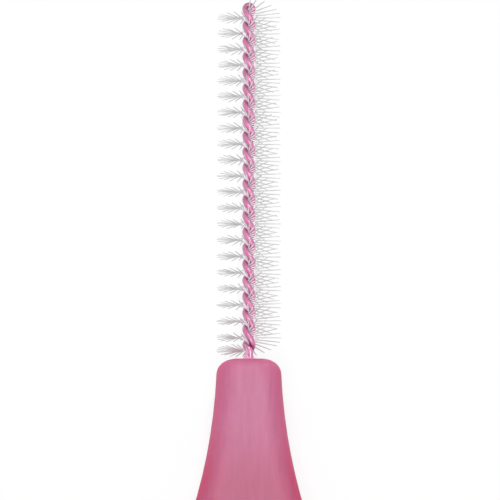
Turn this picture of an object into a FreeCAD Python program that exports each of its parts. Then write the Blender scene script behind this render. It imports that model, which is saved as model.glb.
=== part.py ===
# Interdental brush, in millimetres: a flat moulded handle, a twisted wire and the filaments that it grips.
# The brush lies flat: +Y runs to the tip of the wire, +Z is up, and the handle's flat back is at z = 0.
import FreeCAD, Part
import math
import os

V = FreeCAD.Vector

# Filaments
bristle_diameter = 3.2
filament_diameter = 0.065
filament_gap = 0.0074
filament_count = 254
filament_sides = 4

# Twisted wire, one hairpin whose legs are wound round each other
strand_diameter = 0.29
strand_sides = 7
half_pitch = 0.858
pinch_clearance = 0.01
tip_ease = 0.15
bare_wire = 0.65
embed_turns = 1.5

# Handle
handle_length = 45.0
neck_width = 3.14
neck_thickness = 2.6
neck_slope = 0.02
neck_end_round = 0.65
flare_length = 9.0
flare_width = 6.26
grip_width = 8.4
grip_thickness = 3.6
thickening_length = 5.6
long_edge_round = 1.05
butt_corner_round = 2.8
bore_clearance = 0.01
bore_spare_depth = 0.25

# Grip grooves across both faces of the handle
groove_count = 6
groove_spacing = 2.1
groove_width = 0.9
groove_length = 4.4
groove_depth = 0.35
groove_lead = 1.6

# Sizes that follow from the ones above
strand_radius = strand_diameter / 2
helix_radius = strand_radius + filament_diameter / 2 + pinch_clearance
pair_radius = helix_radius + strand_radius
filament_spacing = filament_diameter + filament_gap
bristled_length = filament_count * filament_spacing
loop_reach = bare_wire + bristled_length
wire_reach = loop_reach + pair_radius
overall_length = handle_length + wire_reach
y_butt = -overall_length / 2
y_face = y_butt + handle_length
y_loop = y_face + loop_reach
y_tail = y_face - embed_turns * 2 * half_pitch
z_axis = grip_thickness / 2
twist_rate = math.pi / half_pitch


def times(vector, factor):
    return V(vector.x * factor, vector.y * factor, vector.z * factor)


def unit(vector):
    return times(vector, 1.0 / vector.Length)


def tangent_arc(start, direction, end):
    """The arc that leaves start along direction and ends at end, with its direction there."""
    along = unit(direction)
    chord = end.sub(start)
    aside = chord.sub(times(along, chord.dot(along)))
    if aside.Length < 1e-7:
        return Part.LineSegment(start, end).toShape(), along
    inward = unit(aside)
    radius = chord.dot(chord) / (2 * aside.Length)
    half = math.atan2(aside.Length, chord.dot(along))
    centre = start.add(times(inward, radius))
    middle = centre.add(times(along, radius * math.sin(half)))
    middle = middle.sub(times(inward, radius * math.cos(half)))
    leaving = times(along, math.cos(2 * half)).add(times(inward, math.sin(2 * half)))
    return Part.Arc(start, middle, end).toShape(), leaving


def biarc(start, direction, end, final):
    """Two arcs that meet smoothly and join two points along the given directions."""
    first = unit(direction)
    last = unit(final)
    span = end.sub(start)
    a = 2 * (1 - first.dot(last))
    b = 2 * span.dot(first.add(last))
    c = -span.dot(span)
    if a < 1e-9:
        reach = -c / b
    else:
        reach = (-b + math.sqrt(b * b - 4 * a * c)) / (2 * a)
    near = start.add(times(first, reach))
    far = end.sub(times(last, reach))
    joint = times(near.add(far), 0.5)
    arc_1, _ = tangent_arc(start, first, joint)
    arc_2, _ = tangent_arc(joint, far.sub(near), end)
    return [arc_1, arc_2]


def twist(y):
    """Angle of the pair at y, counted down from the loop, and its change along y."""
    drop = y_loop - y
    if drop < tip_ease:
        return twist_rate * drop * drop / (2 * tip_ease), -twist_rate * drop / tip_ease
    return twist_rate * (drop - tip_ease / 2), -twist_rate


def strand_point(y, side):
    """Point of one leg's centre line, and the direction in which it climbs."""
    angle, rate = twist(y)
    x = side * helix_radius * math.cos(angle)
    z = -side * helix_radius * math.sin(angle)
    climb = V(z * rate, 1.0, -x * rate)
    return V(x, y, z + z_axis), climb


def leg_edges(side):
    """Arcs of one leg from its tail up to the loop, a quarter turn at a time."""
    y_ease = y_loop - tip_ease
    quarters = math.ceil((y_ease - y_tail) / (half_pitch / 2))
    step = (y_ease - y_tail) / quarters
    heights = [y_tail + step * i for i in range(quarters + 1)] + [y_loop]
    edges = []
    for low, high in zip(heights[:-1], heights[1:]):
        start, climb = strand_point(low, side)
        end, climb_on = strand_point(high, side)
        edges += biarc(start, climb, end, climb_on)
    return edges


def polygon(centre, across, up, radius, sides):
    """Regular polygon round centre in the plane of two unit directions."""
    corners = []
    for i in range(sides):
        turn = 2 * math.pi * i / sides
        corner = centre.add(times(across, radius * math.cos(turn)))
        corners.append(corner.add(times(up, radius * math.sin(turn))))
    return Part.makePolygon(corners + corners[:1])


def twisted_wire():
    """One coated wire: up one leg, over the loop at the tip and down the other leg."""
    up_leg = leg_edges(1)
    down_leg = leg_edges(-1)
    right, _ = strand_point(y_loop, 1)
    left, _ = strand_point(y_loop, -1)
    loop = Part.Arc(right, V(0, y_loop + helix_radius, z_axis), left).toShape()
    path = Part.Wire(Part.__sortEdges__(up_leg + [loop] + down_leg))
    start, climb = strand_point(y_tail, 1)
    along = unit(climb)
    across = unit(V(start.x, 0, start.z - z_axis))
    section = polygon(start, across, along.cross(across), strand_radius, strand_sides)
    return path.makePipeShell([section], True, False)


def filament(index):
    """One straight filament, gripped at its middle, with the turn in which it lies."""
    y = y_loop - filament_spacing * (index + 1)
    angle, _ = twist(y)
    along = V(math.sin(angle), 0, math.cos(angle))
    across = V(math.cos(angle), 0, -math.sin(angle))
    foot = V(0, y, z_axis).sub(times(along, bristle_diameter / 2))
    outline = polygon(foot, across, V(0, 1, 0), filament_diameter / 2, filament_sides)
    return int(angle / math.pi), Part.Face(outline).extrude(times(along, bristle_diameter))


def plan_outline():
    """Right side of the handle from above, from the neck to the grip: a hollow arc, then a swelling one."""
    corner = V(neck_width / 2, y_face, 0)
    flare_end = V(flare_width / 2, y_face - flare_length, 0)
    hollow, leaving = tangent_arc(corner, V(neck_slope, -1, 0), flare_end)
    lean = math.atan2(leaving.x, -leaving.y)
    neck_length = flare_length + (grip_width - flare_width) / 2 / math.tan(lean / 2)
    grip_corner = V(grip_width / 2, y_face - neck_length, 0)
    swell, _ = tangent_arc(flare_end, leaving, grip_corner)
    return [hollow, swell], neck_length


def plan_prism():
    """The handle's outline from above, made a prism through its whole thickness."""
    right, neck_length = plan_outline()
    left = [edge.mirror(V(0, 0, 0), V(1, 0, 0)) for edge in right]
    x = grip_width / 2
    y = y_face - neck_length
    straight = [
        Part.makeLine(V(x, y, 0), V(x, y_butt, 0)),
        Part.makeLine(V(x, y_butt, 0), V(-x, y_butt, 0)),
        Part.makeLine(V(-x, y_butt, 0), V(-x, y, 0)),
        Part.makeLine(V(-neck_width / 2, y_face, 0), V(neck_width / 2, y_face, 0)),
    ]
    outline = Part.Wire(Part.__sortEdges__(right + left + straight))
    prism = Part.Face(outline).extrude(V(0, 0, 2 * grip_thickness))
    prism.translate(V(0, 0, -grip_thickness / 2))
    corners = [e for e in prism.Edges if upright(e) and e.BoundBox.YMax < y_butt + 1e-6]
    return prism.makeFillet(butt_corner_round, corners)


def upright(edge):
    box = edge.BoundBox
    return box.XLength + box.YLength < 1e-6


def side_prism():
    """The handle's outline from the side, thinner at the neck, made a prism across its width."""
    _, neck_length = plan_outline()
    y_thin = y_face - neck_length
    y_thick = y_thin - thickening_length
    edges = [
        Part.makeLine(V(0, y_face, z_axis - neck_thickness / 2), V(0, y_face, z_axis + neck_thickness / 2)),
        Part.makeLine(V(0, y_butt, 0), V(0, y_butt, grip_thickness)),
    ]
    for side in (1, -1):
        thin = z_axis + side * neck_thickness / 2
        thick = z_axis + side * grip_thickness / 2
        edges.append(Part.makeLine(V(0, y_face, thin), V(0, y_thin, thin)))
        edges += biarc(V(0, y_thin, thin), V(0, -1, 0), V(0, y_thick, thick), V(0, -1, 0))
        edges.append(Part.makeLine(V(0, y_thick, thick), V(0, y_butt, thick)))
    outline = Part.Wire(Part.__sortEdges__(edges))
    prism = Part.Face(outline).extrude(V(2 * grip_width, 0, 0))
    prism.translate(V(-grip_width, 0, 0))
    return prism


def long_edge(edge):
    """True of the edges between the handle's faces and its sides, round the butt too."""
    box = edge.BoundBox
    across = box.YLength < 1e-6 and box.YMin > y_butt + 1e-6
    return not upright(edge) and not across


def groove(index, z):
    """Cutter of one grip groove, a slot with round ends, centred on the height of a face."""
    _, neck_length = plan_outline()
    y = y_face - neck_length - thickening_length - groove_lead - index * groove_spacing
    half = (groove_length - groove_width) / 2
    block = Part.makeBox(2 * half, groove_width, 2 * groove_depth)
    block.translate(V(-half, y - groove_width / 2, z - groove_depth))
    ends = []
    for x in (-half, half):
        ends.append(Part.makeCylinder(groove_width / 2, 2 * groove_depth, V(x, y, z - groove_depth)))
    return block.multiFuse(ends).removeSplitter()


def handle():
    body = plan_prism().common(side_prism())
    body = body.makeFillet(long_edge_round, [e for e in body.Edges if long_edge(e)])
    rim = [e for e in body.Edges if e.BoundBox.YMin > y_face - 1e-6]
    body = body.makeFillet(neck_end_round, rim)
    bore_depth = y_face - y_tail + bore_spare_depth
    bore = Part.makeCylinder(pair_radius + bore_clearance, bore_depth, V(0, y_face, z_axis), V(0, -1, 0))
    cutters = [bore]
    for index in range(groove_count):
        cutters.append(groove(index, 0))
        cutters.append(groove(index, grip_thickness))
    return body.cut(cutters)


os.makedirs("parts", exist_ok=True)

handle_shape = handle()
handle_shape.exportStep("parts/handle.step")

wire_shape = twisted_wire()
wire_shape.exportStep("parts/twisted_wire.step")

tufts = {}
for index in range(filament_count):
    turn, solid = filament(index)
    tufts.setdefault(turn, []).append(solid)
for turn, solids in tufts.items():
    Part.makeCompound(solids).exportStep("parts/filaments_%02d.step" % (turn + 1))

print("overall length %.2f, width %.2f, height %.2f" % (overall_length, grip_width, grip_thickness))
print("handle valid %s, solids %d, volume %.1f" % (handle_shape.isValid(), len(handle_shape.Solids), handle_shape.Volume))
print("wire valid %s, faces %d, volume %.3f" % (wire_shape.isValid(), len(wire_shape.Faces), wire_shape.Volume))
gap = min(wire_shape.distToShape(filament(i)[1])[0] for i in (0, 1, 60, 130, filament_count - 1))
print("tufts %d, least gap from a filament to the wire %.4f" % (len(tufts), gap))
print("face at y %.3f, loop at y %.3f, axis at z %.3f" % (y_face, y_loop, z_axis))
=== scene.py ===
import math
import random

import bmesh
import bpy
from mathutils import Matrix, Vector


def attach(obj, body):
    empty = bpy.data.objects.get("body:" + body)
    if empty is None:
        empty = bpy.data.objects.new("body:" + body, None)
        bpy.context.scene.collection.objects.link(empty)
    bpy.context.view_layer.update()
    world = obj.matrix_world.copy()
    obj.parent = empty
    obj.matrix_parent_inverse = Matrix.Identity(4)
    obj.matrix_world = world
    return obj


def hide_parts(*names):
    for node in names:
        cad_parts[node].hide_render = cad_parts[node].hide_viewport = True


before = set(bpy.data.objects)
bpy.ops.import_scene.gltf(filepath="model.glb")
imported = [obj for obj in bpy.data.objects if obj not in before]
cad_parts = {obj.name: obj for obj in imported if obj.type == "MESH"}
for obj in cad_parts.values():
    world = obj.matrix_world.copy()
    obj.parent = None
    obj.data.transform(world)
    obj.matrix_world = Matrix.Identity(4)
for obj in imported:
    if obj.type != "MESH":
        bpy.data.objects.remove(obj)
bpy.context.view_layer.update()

# All lengths below are written in millimetres and turned to metres by MM
MM = 0.001

# Sizes of the brush, the same values as in the solids
BRISTLE_DIAMETER = 3.2
FILAMENT_DIAMETER = 0.065
FILAMENT_SPACING = 0.0724
FILAMENT_COUNT = 254
STRAND_DIAMETER = 0.29
HALF_PITCH = 0.858
PINCH_CLEARANCE = 0.01
TIP_EASE = 0.15
BARE_WIRE = 0.65
EMBED_TURNS = 1.5
HANDLE_LENGTH = 45.0
GRIP_THICKNESS = 3.6

# Sizes that follow from the ones above
STRAND_RADIUS = STRAND_DIAMETER / 2
HELIX_RADIUS = STRAND_RADIUS + FILAMENT_DIAMETER / 2 + PINCH_CLEARANCE
PAIR_RADIUS = HELIX_RADIUS + STRAND_RADIUS
LOOP_REACH = BARE_WIRE + FILAMENT_COUNT * FILAMENT_SPACING
OVERALL = HANDLE_LENGTH + LOOP_REACH + PAIR_RADIUS
Y_FACE = HANDLE_LENGTH - OVERALL / 2
Y_LOOP = Y_FACE + LOOP_REACH
Y_TAIL = Y_FACE - EMBED_TURNS * 2 * HALF_PITCH
Z_AXIS = GRIP_THICKNESS / 2
TWIST_RATE = math.pi / HALF_PITCH

# Below the even half turns the wire is wound tighter, by END_TURN in all, and then its legs run straight
EVEN_HALF_TURNS = 20.92
END_TURN = math.radians(50)
END_TOP = Y_LOOP - EVEN_HALF_TURNS * HALF_PITCH - TIP_EASE / 2
END_LOW = Y_LOOP - FILAMENT_COUNT * FILAMENT_SPACING
END_EASE = 0.08

# The last tuft goes to the left only, in half filaments packed closer and fanned out down to the foot
LAST_TUFT = 22
LAST_COUNT = 14
LAST_HIGH = END_LOW + 4 * FILAMENT_SPACING
LAST_LOW = END_LOW - 0.2
LAST_FAN = math.radians(160)

# Half a filament, from near its middle to its end: the share of its reach, and of its width there
FILAMENT_FORM = [(0.25, 1.0), (0.55, 0.92), (0.96, 0.62), (0.988, 0.52), (1.0, 0.32)]
# How far the filaments' ends stray from straight, along the wire and round it
STRAY_ALONG = 0.018
STRAY_ROUND = 0.014
STRAY_SEED = 5

# The foot of coating: a flare that eases from the handle's end into a neck with a narrower top
FOOT_RADIUS = 0.385
FOOT_NECK = 0.2
FOOT_TOP = 0.1
FOOT_FLARE = 0.55
FOOT_HEIGHT = 0.62
FOOT_SINK = 0.02

# How finely the pieces are drawn
STRAND_SIDES = 16
LOOP_STEPS = 8
LEG_STEPS = 430
FILAMENT_SIDES = 6
FOOT_STEPS = 8
FOOT_SIDES = 24
WELD_DISTANCE = 1e-4

# The photograph's frame: 24.7 mm across, seen from the handle's side, 21.5 degrees off square
FRAME_WIDTH = 24.7
CAMERA_ELEVATION = 68.5
CAMERA_DISTANCE = 260.0
AIM = (0.055, 18.81, Z_AXIS)
SENSOR = 36.0

# The nearest and farthest that the camera shows, and the floor
CLIP_START = 10.0
CLIP_END = 20000.0
FLOOR_SIZE = 3000.0


def twist(y):
    """Angle of the wire pair at y, counted down from the loop at the tip."""
    drop = Y_LOOP - y
    if drop < TIP_EASE:
        return TWIST_RATE * drop * drop / (2 * TIP_EASE)
    return TWIST_RATE * (drop - TIP_EASE / 2)


def wound(y):
    """Angle of the wire pair at y, with the tighter end and the straight legs below it."""
    past = y - END_LOW + END_EASE
    if past < 2 * END_EASE:
        y = END_LOW + max(past, 0.0) ** 2 / (4 * END_EASE)
    return twist(y) + END_TURN * min(1.0, max(0.0, (END_TOP - y) / (END_TOP - END_LOW)))


def linear(code):
    """Linear colour of an sRGB hex code."""
    channels = [int(code[i:i + 2], 16) / 255 for i in (1, 3, 5)]
    return [c / 12.92 if c <= 0.04045 else ((c + 0.055) / 1.055) ** 2.4 for c in channels] + [1.0]


def add(tree, kind, settings=None, **inputs):
    """Adds a node with its settings. An input goes by its name, with _ for a space, or by its number, as in
    i0. A socket given for it is linked, and any other value is set."""
    node = tree.nodes.new(kind)
    for name, value in (settings or {}).items():
        setattr(node, name, value)
    for name, value in inputs.items():
        numbered = name[0] == "i" and name[1:].isdigit()
        socket = node.inputs[int(name[1:]) if numbered else name.replace("_", " ")]
        if isinstance(value, bpy.types.NodeSocket):
            tree.links.new(value, socket)
        else:
            socket.default_value = value
    return node


def material(name):
    """An empty material with its node tree."""
    made = bpy.data.materials.new(name)
    made.use_nodes = True
    made.node_tree.nodes.clear()
    return made, made.node_tree


def noise(tree, place, scale, detail=2.0, roughness=0.5):
    """Cloudy pattern, with about this many waves to one unit of place."""
    return add(tree, "ShaderNodeTexNoise", Vector=place, Scale=scale, Detail=detail,
               Roughness=roughness).outputs["Fac"]


def ramp(tree, value, start, low, end, high):
    """Colour from low, where the value is start, to high, where it is end."""
    node = add(tree, "ShaderNodeValToRGB", Fac=value)
    for stop, place, code in zip(node.color_ramp.elements, (start, end), (low, high)):
        stop.position = place
        stop.color = linear(code)
    return node.outputs["Color"]


def ease(tree, value, start, end):
    """Smooth change from zero, where the value is start, to one, where it is end."""
    return add(tree, "ShaderNodeMapRange", {"interpolation_type": "SMOOTHSTEP"}, Value=value,
               From_Min=start, From_Max=end).outputs["Result"]


def blend(tree, share, first, second, how="MIX"):
    """Colour between two, with this share of the second."""
    return add(tree, "ShaderNodeMix", {"data_type": "RGBA", "blend_type": how}, i0=share, i6=first,
               i7=second).outputs[2]


def from_axis(tree, place, height_share=1.0):
    """Distance from the wire's axis, in metres, of which heights count by this share."""
    out = add(tree, "ShaderNodeMapping", Vector=place, Location=(0, 0, -Z_AXIS * height_share * MM),
              Scale=(1, 0, height_share)).outputs["Vector"]
    return add(tree, "ShaderNodeVectorMath", {"operation": "LENGTH"}, i0=out).outputs["Value"]


def moulded_polypropylene():
    """Injection-moulded polypropylene, fine satin mould grain: a soft broad highlight and faint flow streaks
    along the handle."""
    made, tree = material("satin_polypropylene_pink")
    where = add(tree, "ShaderNodeTexCoord").outputs
    place = where["Object"]
    # Flow streaks about 0.2 mm wide and 1.5 mm long, drawn out along the handle
    drawn = add(tree, "ShaderNodeMapping", Vector=place, Scale=(5.0 / MM, 0.7 / MM, 5.0 / MM))
    streaks = noise(tree, drawn.outputs["Vector"], 1.0, detail=3.0, roughness=0.55)
    tone = ramp(tree, streaks, 0.32, "#B65C85", 0.70, "#BF678F")
    # Painted shade: the plastic is darker and deeper in colour from 3 to 7 mm below the neck's end onwards,
    # towards the grip, in place of light that falls off there
    y = add(tree, "ShaderNodeSeparateXYZ", Vector=place).outputs["Y"]
    painted_grip_shade = ease(tree, y, (Y_FACE - 3.0) * MM, (Y_FACE - 7.0) * MM)
    face = blend(tree, painted_grip_shade, tone, linear("#F6CAD8"), "MULTIPLY")
    # Painted light: the rounded edges, found by the slope of the surface, get a brighter and redder colour
    # than the flat faces, and this too deepens towards the grip
    painted_edge_light = blend(tree, painted_grip_shade, linear("#D05886"), linear("#CC2A66"))
    slope = add(tree, "ShaderNodeSeparateXYZ", Vector=where["Normal"]).outputs["Z"]
    flat = add(tree, "ShaderNodeMath", {"operation": "ABSOLUTE"}, i0=slope).outputs[0]
    colour = blend(tree, ease(tree, flat, 0.95, 0.45), face, painted_edge_light)
    # Spark-eroded mould grain, 0.12 mm from grain to grain
    grain = noise(tree, place, 1 / (0.12 * MM))
    bump = add(tree, "ShaderNodeBump", Strength=0.12, Distance=0.02 * MM, Height=grain).outputs["Normal"]
    gloss = add(tree, "ShaderNodeMapRange", Value=streaks, To_Min=0.56, To_Max=0.62).outputs["Result"]
    shader = add(tree, "ShaderNodeBsdfPrincipled", Base_Color=colour, Roughness=gloss, IOR=1.49, Normal=bump,
                 Specular_IOR_Level=0.95, Subsurface_Weight=0.9, Subsurface_Radius=(1.0, 0.25, 0.4),
                 Subsurface_Scale=2.0 * MM)
    add(tree, "ShaderNodeOutputMaterial", Surface=shader.outputs["BSDF"])
    return made


def coated_wire(name, low, high, painted_valley_shade):
    """Glossy polymer film drawn over steel wire: clear pink with bright lines of light along each strand."""
    made, tree = material(name)
    place = add(tree, "ShaderNodeTexCoord").outputs["Object"]
    # Slight clouding of the film, about 0.4 mm across
    cloud = noise(tree, place, 1 / (0.4 * MM))
    tone = ramp(tree, cloud, 0.35, low, 0.68, high)
    # Painted shade: the film is darker and deeper in colour near the wire's axis, between the two strands,
    # where shade falls
    clear_of_painted_shade = ease(tree, from_axis(tree, place), 0.16 * MM, 0.31 * MM)
    coat = blend(tree, clear_of_painted_shade, linear(painted_valley_shade), tone)
    bump = add(tree, "ShaderNodeBump", Strength=0.05, Distance=0.01 * MM, Height=cloud).outputs["Normal"]
    shader = add(tree, "ShaderNodeBsdfPrincipled", Base_Color=coat, Metallic=0.15, Roughness=0.36, IOR=1.53,
                 Normal=bump, Coat_Weight=0.9, Coat_Roughness=0.05)
    add(tree, "ShaderNodeOutputMaterial", Surface=shader.outputs["BSDF"])
    return made


def nylon_filament():
    """Drawn nylon filament, uncoloured: cloudy grey-white with a faint gloss."""
    made, tree = material("drawn_nylon_filament_natural")
    place = add(tree, "ShaderNodeTexCoord").outputs["Object"]
    # Haze that changes along each filament, about 0.5 mm across
    haze = noise(tree, place, 1 / (0.5 * MM))
    tone = ramp(tree, haze, 0.3, "#BFBFC1", 0.72, "#D3D3D5")
    # Painted light: pale pink-white near the wire's axis, between the strands and for about 1 mm above and
    # below the wire, in place of the light the clear nylon gathers there and the pink light the strands
    # throw on it
    out = ease(tree, from_axis(tree, place, 0.25), 0.25 * MM, 0.36 * MM)
    shade = blend(tree, out, linear("#FFF4FC"), tone)
    shader = add(tree, "ShaderNodeBsdfPrincipled", Base_Color=shade, Roughness=0.34, IOR=1.53,
                 Subsurface_Weight=0.8, Subsurface_Radius=(1.0, 1.0, 1.0), Subsurface_Scale=0.05 * MM)
    add(tree, "ShaderNodeOutputMaterial", Surface=shader.outputs["BSDF"])
    return made


def piece(name, bm, finish, slot, *nodes):
    """Makes a bmesh in millimetres a smooth piece that rides on the brush and stands for the nodes named."""
    bmesh.ops.scale(bm, vec=(MM, MM, MM), verts=bm.verts)
    bmesh.ops.recalc_face_normals(bm, faces=bm.faces)
    mesh = bpy.data.meshes.new(name)
    bm.to_mesh(mesh)
    bm.free()
    mesh.shade_smooth()
    mesh.materials.append(finish)
    made = bpy.data.objects.new(name, mesh)
    bpy.context.scene.collection.objects.link(made)
    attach(made, "root")
    if nodes:
        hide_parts(*nodes)
    return made


def wind_leg(bm, ring):
    """Draws the ring over half of the loop and down one leg, and returns the ring at the tail."""
    def spin(edges, centre, axis, angle, steps, climb=(0, 0, 0)):
        done = bmesh.ops.spin(bm, geom=edges, cent=centre, axis=axis, angle=angle, steps=steps, dvec=climb)
        return [e for e in done["geom_last"] if isinstance(e, bmesh.types.BMEdge)]

    ring = spin(ring, (0, Y_LOOP, Z_AXIS), (0, 0, 1), -math.pi / 2, LOOP_STEPS)
    step = (Y_LOOP - Y_TAIL) / LEG_STEPS
    lean_before = 0.0
    for i in range(LEG_STEPS):
        high = Y_LOOP - step * i
        low = high - step
        ring = spin(ring, (0, 0, Z_AXIS), (0, 1, 0), wound(low) - wound(high), 1, (0, -step, 0))
        # The section leans with the strand, so that it stays square to it
        angle = wound(low)
        out = Vector((math.cos(angle), 0, -math.sin(angle)))
        lean = math.atan(HELIX_RADIUS * (wound(low - step) - wound(high)) / (2 * step))
        verts = list({v for e in ring for v in e.verts})
        bmesh.ops.rotate(bm, verts=verts, cent=Vector((0, low, Z_AXIS)) + out * HELIX_RADIUS,
                         matrix=Matrix.Rotation(lean - lean_before, 3, out))
        lean_before = lean
    return ring


def twisted_wire(finish):
    """The hairpin with round strands: one leg with its half of the loop, and the same turned half round."""
    bm = bmesh.new()
    apex = Matrix.Translation((0, Y_LOOP + HELIX_RADIUS, Z_AXIS)) @ Matrix.Rotation(math.pi / 2, 4, "Y")
    start = bmesh.ops.create_circle(bm, segments=STRAND_SIDES, radius=STRAND_RADIUS, matrix=apex)["verts"]
    ring = list({e for v in start for e in v.link_edges})
    tail = wind_leg(bm, ring)
    bmesh.ops.edgeloop_fill(bm, edges=tail)
    copy = bmesh.ops.duplicate(bm, geom=bm.verts[:] + bm.edges[:] + bm.faces[:])["geom"]
    verts = [g for g in copy if isinstance(g, bmesh.types.BMVert)]
    bmesh.ops.rotate(bm, verts=verts, cent=(0, 0, Z_AXIS), matrix=Matrix.Rotation(math.pi, 3, "Y"))
    bmesh.ops.remove_doubles(bm, verts=bm.verts, dist=WELD_DISTANCE)
    piece("twisted_wire_round", bm, finish, "coated_wire", "twisted_wire")


def wire_foot(finish):
    """Small flared foot of the coating where the wire goes into the handle."""
    bm = bmesh.new()
    verts = [bm.verts.new((FOOT_RADIUS, Y_FACE - FOOT_SINK, Z_AXIS))]
    for i in range(FOOT_STEPS + 1):
        share = i / FOOT_STEPS
        radius = FOOT_RADIUS + (FOOT_NECK - FOOT_RADIUS) * share * share * (3 - 2 * share)
        verts.append(bm.verts.new((radius, Y_FACE + FOOT_FLARE * share, Z_AXIS)))
    verts.append(bm.verts.new((FOOT_TOP, Y_FACE + FOOT_HEIGHT, Z_AXIS)))
    edges = [bm.edges.new(pair) for pair in zip(verts, verts[1:])]
    bmesh.ops.spin(bm, geom=edges, cent=(0, 0, Z_AXIS), axis=(0, 1, 0), angle=2 * math.pi, steps=FOOT_SIDES,
                   use_merge=True)
    bmesh.ops.remove_doubles(bm, verts=bm.verts, dist=WELD_DISTANCE)
    bmesh.ops.holes_fill(bm, edges=bm.edges, sides=0)
    piece("wire_foot", bm, finish, "coated_wire")


def filament(bm, y, angle, chance, left_only=False):
    """One filament through the wire, its ends rounded and a little out of straight."""
    along = Vector((math.sin(angle), 0, math.cos(angle)))
    across = Vector((math.cos(angle), 0, -math.sin(angle)))
    middle = Vector((0, y, Z_AXIS))
    reach = BRISTLE_DIAMETER / 2
    # Rings from one end to the other, each at its share of the reach and of the width
    rings = [(-part, width) for part, width in reversed(FILAMENT_FORM)] + [(0.0, 1.0)] + FILAMENT_FORM
    if left_only:
        rings = [ring for ring in rings if ring[0] * along.x <= 0]
    first, first_width = rings[0]
    start = Matrix.Translation(middle + along * (reach * first)) @ Matrix.Rotation(angle, 4, "Y")
    section = bmesh.ops.create_circle(bm, cap_ends=True, segments=FILAMENT_SIDES,
                                      radius=FILAMENT_DIAMETER / 2 * first_width, matrix=start)["verts"]
    edges = list({e for v in section for e in v.link_edges})
    drawn = [(section, first)]
    for (before, width_before), (after, width) in zip(rings, rings[1:]):
        made = bmesh.ops.extrude_edge_only(bm, edges=edges)["geom"]
        verts = [g for g in made if isinstance(g, bmesh.types.BMVert)]
        edges = [g for g in made if isinstance(g, bmesh.types.BMEdge) and all(v in verts for v in g.verts)]
        bmesh.ops.translate(bm, verts=verts, vec=along * (reach * (after - before)))
        place = middle + along * (reach * after)
        bmesh.ops.scale(bm, verts=verts, vec=[width / width_before] * 3, space=Matrix.Translation(-place))
        drawn.append((verts, after))
    bmesh.ops.edgeloop_fill(bm, edges=edges)
    for side in (-1, 1):
        bend = Vector((0, chance.gauss(0, STRAY_ALONG), 0)) + across * chance.gauss(0, STRAY_ROUND)
        for verts, part in drawn:
            if part * side > 0:
                bmesh.ops.translate(bm, verts=verts, vec=bend * part * part)


def filaments(finish):
    """The filaments of each half turn are one piece."""
    chance = random.Random(STRAY_SEED)
    tufts = {number: bmesh.new() for number in range(1, LAST_TUFT + 1)}
    for index in range(FILAMENT_COUNT):
        y = Y_LOOP - FILAMENT_SPACING * (index + 1)
        number = int(twist(y) / math.pi) + 1
        if number < LAST_TUFT:
            filament(tufts[number], y, wound(y), chance)
    for i in range(LAST_COUNT):
        down = i / (LAST_COUNT - 1)
        y = LAST_HIGH + (LAST_LOW - LAST_HIGH) * down
        filament(tufts[LAST_TUFT], y, wound(LAST_HIGH) + LAST_FAN * down, chance, left_only=True)
    for number, bm in tufts.items():
        made = piece("nylon_tuft_%02d" % number, bm, finish, "filament_nylon", "filaments_%02d" % number)
        # Natural nylon lets the light through to the wire
        made.visible_shadow = False


def background_seen(tree):
    """One for rays that show the background: to the camera, mirrored or through something clear."""
    path = add(tree, "ShaderNodeLightPath").outputs
    beyond = add(tree, "ShaderNodeMath", {"operation": "MAXIMUM"}, i0=path["Is Glossy Ray"],
                 i1=path["Is Transmission Ray"]).outputs[0]
    return add(tree, "ShaderNodeMath", {"operation": "MAXIMUM"}, i0=path["Is Camera Ray"],
               i1=beyond).outputs[0]


def floor():
    """Plain pale floor: white where it is seen or mirrored but for a soft shadow, and pale grey as it lights
    the brush."""
    bm = bmesh.new()
    bmesh.ops.create_grid(bm, x_segments=1, y_segments=1, size=FLOOR_SIZE * MM)
    mesh = bpy.data.meshes.new("floor")
    bm.to_mesh(mesh)
    bm.free()
    made, tree = material("white_paper")
    paper = add(tree, "ShaderNodeBsdfDiffuse", Color=linear("#F8F8F8"))
    glow = add(tree, "ShaderNodeEmission", Color=linear("#FFFFFF"), Strength=1.0)
    dull = add(tree, "ShaderNodeBsdfDiffuse", Color=linear("#D8D8D8"))
    lift = add(tree, "ShaderNodeMixShader", Fac=0.8, i1=paper.outputs[0], i2=glow.outputs[0])
    seen = background_seen(tree)
    both = add(tree, "ShaderNodeMixShader", Fac=seen, i1=dull.outputs[0], i2=lift.outputs[0])
    add(tree, "ShaderNodeOutputMaterial", Surface=both.outputs[0])
    mesh.materials.append(made)
    ground = bpy.data.objects.new("floor", mesh)
    bpy.context.scene.collection.objects.link(ground)


def lamp(name, place, aim, size, power):
    """A round area lamp at place, turned to aim, that the camera doesn't see. Its power is in watts."""
    data = bpy.data.lights.new(name, "AREA")
    data.shape = "DISK"
    data.size = size * MM
    data.energy = power
    made = bpy.data.objects.new(name, data)
    made.location = Vector(place) * MM
    made.rotation_euler = (Vector(aim) - Vector(place)).to_track_quat("-Z", "Y").to_euler()
    made.visible_camera = False
    bpy.context.scene.collection.objects.link(made)


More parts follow.
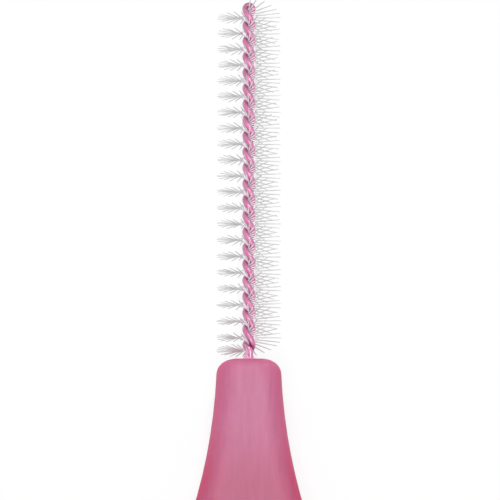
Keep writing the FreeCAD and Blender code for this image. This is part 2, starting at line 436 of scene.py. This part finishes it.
def light():
    """A softbox where the handle's face mirrors it to the camera, a large fill on the camera's side, and a
    studio that darkens a little towards the floor."""
    world = bpy.data.worlds.new("studio")
    bpy.context.scene.world = world
    world.use_nodes = True
    tree = world.node_tree
    tree.nodes.clear()
    way = add(tree, "ShaderNodeTexCoord").outputs["Generated"]
    height = add(tree, "ShaderNodeSeparateXYZ", Vector=way).outputs["Z"]
    shade = add(tree, "ShaderNodeMapRange", Value=height, From_Min=0.0, From_Max=1.0, To_Min=0.34,
                To_Max=0.38).outputs["Result"]
    level = add(tree, "ShaderNodeMix", {"data_type": "FLOAT"}, i0=background_seen(tree), i2=shade, i3=1.0)
    sky = add(tree, "ShaderNodeBackground", Color=linear("#FFFFFF"), Strength=level.outputs[0])
    add(tree, "ShaderNodeOutputWorld", Surface=sky.outputs[0])
    lamp("softbox", place=(2, 36, 54), aim=(0, 13, 2), size=26, power=0.0155)
    lamp("fill", place=(-6, -30, 84), aim=(0, 16, 2), size=50, power=0.038)


def camera():
    """The camera at the photograph's viewing angle, with the photograph's frame."""
    data = bpy.data.cameras.new("camera")
    data.sensor_width = SENSOR
    data.lens = SENSOR * CAMERA_DISTANCE / FRAME_WIDTH
    data.clip_start = CLIP_START * MM
    data.clip_end = CLIP_END * MM
    made = bpy.data.objects.new("camera", data)
    tilt = math.radians(90 - CAMERA_ELEVATION)
    back = Vector((0, -math.sin(tilt), math.cos(tilt)))
    made.location = (Vector(AIM) + back * CAMERA_DISTANCE) * MM
    made.rotation_euler = (tilt, 0, 0)
    bpy.context.scene.collection.objects.link(made)
    bpy.context.scene.camera = made


camera()
light()
floor()
bpy.context.scene.view_settings.view_transform = "Standard"

plastic = moulded_polypropylene()
# The fourth colour is the painted shade between the strands
film = coated_wire("glossy_polymer_coated_wire_pink", "#C36497", "#D47CAB", "#8E3F6C")
# Where the film has run together at the foot it is paler
pool = coated_wire("glossy_polymer_pooled_film_pink", "#F2AFD0", "#F8BEDA", "#F2AFD0")
nylon = nylon_filament()

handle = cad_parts["handle"]
handle.data.materials.clear()
handle.data.materials.append(plastic)

twisted_wire(film)
wire_foot(pool)
filaments(nylon)
